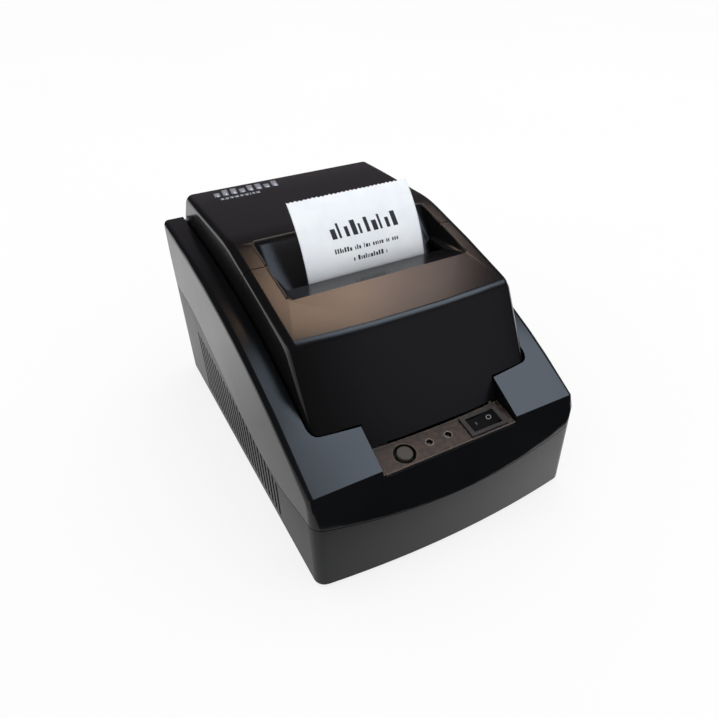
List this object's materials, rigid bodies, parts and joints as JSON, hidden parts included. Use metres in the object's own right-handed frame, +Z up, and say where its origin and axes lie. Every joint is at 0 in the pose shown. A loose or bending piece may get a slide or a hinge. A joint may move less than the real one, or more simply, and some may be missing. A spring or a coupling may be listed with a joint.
{
  "type": "receipt printer",
  "caption": "Desktop thermal receipt printer with a raised rear lid, a tilting front cover, a paper well and slot, a feed button, status lights and a rocker switch.",
  "frame": {"origin": "middle of the footprint on the plane of the rubber feet", "axes": "+X right, +Y to the rear, +Z up; the front face looks along -Y"},
  "size_m": [0.128, 0.188, 0.1256],
  "materials": {
    "case_black": "satin moulded plastic with a fine spark texture",
    "cover_black": "satin moulded plastic with a fine spark texture",
    "bronze_plate": "bronze tinted textured plate",
    "button_grey": "satin grey brown plastic",
    "switch_black": "semi gloss black plastic",
    "steel": "bright plated steel",
    "clear_lens": "clear light pipe",
    "led_epoxy": "tinted epoxy",
    "brass": "plain brass",
    "board_green": "solder mask",
    "chip_black": "moulded chip packages",
    "shield_steel": "zinc plated sheet steel",
    "inner_black": "plain moulded plastic",
    "paper": "smooth thermal paper",
    "cardboard": "wound card tube",
    "roller_rubber": "matt rubber",
    "gear_white": "natural acetal",
    "motor_can": "dark can",
    "aluminium": "extruded aluminium",
    "ceramic": "glazed ceramic with dark print line",
    "lever_blue": "blue moulded lever",
    "cable_film": "polyimide flat cable",
    "cable_red": "insulated wires",
    "cable_grey": "grey ribbon cable",
    "label_grey": "blank silver label"
  },
  "bodies": {
    "casing": {"lower_case": "case_black", "upper_case": "case_black", "control_panel_plate": "bronze_plate", "button_spring": "steel", "indicator_lenses": "clear_lens", "indicator_leds": "led_epoxy", "switch_housing": "switch_black", "switch_terminals": "brass", "control_board": "board_green", "panel_screws": "steel", "tact_switch": "switch_black", "main_board": "board_green", "board_components": "chip_black", "board_screws": "steel", "usb_socket": "shield_steel", "power_socket": "switch_black", "drawer_socket": "switch_black", "paper_bucket": "inner_black", "bucket_screws": "steel", "paper_web": "paper", "mech_base": "shield_steel", "mech_side_left": "shield_steel", "mech_side_right": "shield_steel", "mech_screws": "steel", "platen_bushings": "gear_white", "idler_post": "steel", "stepper_motor": "motor_can", "head_pivot_pin": "steel", "head_springs": "steel", "spring_bar": "shield_steel", "paper_sensor": "switch_black", "head_cable": "cable_film", "motor_cable": "cable_red", "panel_cable": "cable_grey", "rubber_feet": "roller_rubber", "case_screws": "steel", "rating_plate": "label_grey"},
    "rear_lid": {"rear_lid": "cover_black", "lid_hinge_pins": "steel"},
    "front_cover": {"front_cover": "cover_black", "tear_bar": "steel"},
    "feed_button": {"feed_button": "button_grey"},
    "switch_rocker": {"switch_rocker": "switch_black"},
    "paper_roll": {"paper_roll": "paper", "roll_core": "cardboard"},
    "paper_tail": {"paper_tail": "paper"},
    "platen": {"platen_roller": "roller_rubber", "platen_shaft": "steel", "platen_gear": "gear_white"},
    "idler": {"idler_gear": "gear_white"},
    "motor_rotor": {"motor_pinion": "brass", "motor_shaft": "steel"},
    "print_head": {"heat_sink": "aluminium", "thermal_head": "ceramic"},
    "release_lever": {"release_lever": "lever_blue"}
  },
  "joints": [
    {"name": "lid_hinge", "type": "hinge", "parent": "casing", "child": "rear_lid", "pos_m": [0, 0.0876, 0.091], "axis": [-1, 0, 0], "range_deg": [0, 95]},
    {"name": "cover_hinge", "type": "hinge", "parent": "casing", "child": "front_cover", "pos_m": [0, -0.06, 0.0595], "axis": [1, 0, 0], "range_deg": [0, 45]},
    {"name": "feed_button_press", "type": "slide", "parent": "casing", "child": "feed_button", "axis": [0, 0.1657, -0.9862], "range_m": [0, 0.0008], "stiffness_N_per_m": 300, "deforming": ["button_spring"]},
    {"name": "switch_rock", "type": "hinge", "parent": "casing", "child": "switch_rocker", "pos_m": [0.0191, -0.08118, 0.04688], "axis": [0, 0.9862, 0.1657], "range_deg": [0, 16]},
    {"name": "roll_spin", "type": "hinge", "parent": "casing", "child": "paper_roll", "pos_m": [0.0012, 0.044, 0.064], "axis": [1, 0, 0], "continuous": true},
    {"name": "platen_spin", "type": "hinge", "parent": "casing", "child": "platen", "pos_m": [0.0012, -0.022, 0.082], "axis": [1, 0, 0], "continuous": true},
    {"name": "idler_spin", "type": "hinge", "parent": "casing", "child": "idler", "pos_m": [0.0012, -0.02251, 0.06401], "axis": [1, 0, 0], "continuous": true},
    {"name": "motor_spin", "type": "hinge", "parent": "casing", "child": "motor_rotor", "pos_m": [0.0012, -0.038, 0.06], "axis": [1, 0, 0], "continuous": true},
    {"name": "release_lever_hinge", "type": "hinge", "parent": "casing", "child": "release_lever", "pos_m": [0.039, -0.006, 0.062], "axis": [-1, 0, 0], "range_deg": [0, 40]},
    {"name": "head_pivot", "type": "hinge", "parent": "casing", "child": "print_head", "pos_m": [0.0012, -0.0103, 0.076], "axis": [-1, 0, 0], "range_deg": [0, 6], "deforming": ["head_springs"]},
    {"name": "paper_lean", "type": "hinge", "parent": "casing", "child": "paper_tail", "pos_m": [0.0012, -0.0157, 0.0964], "axis": [1, 0, 0], "range_deg": [0, 56]}
  ],
  "couplings": [
    {"joint": "platen_spin", "follows": "roll_spin", "ratio": 6.7273},
    {"joint": "idler_spin", "follows": "roll_spin", "ratio": -5.3818},
    {"joint": "motor_spin", "follows": "roll_spin", "ratio": 8.9697},
    {"joint": "head_pivot", "follows": "release_lever_hinge", "ratio": 0.15},
    {"joint": "paper_lean", "follows": "lid_hinge", "ratio": 0.58}
  ]
}
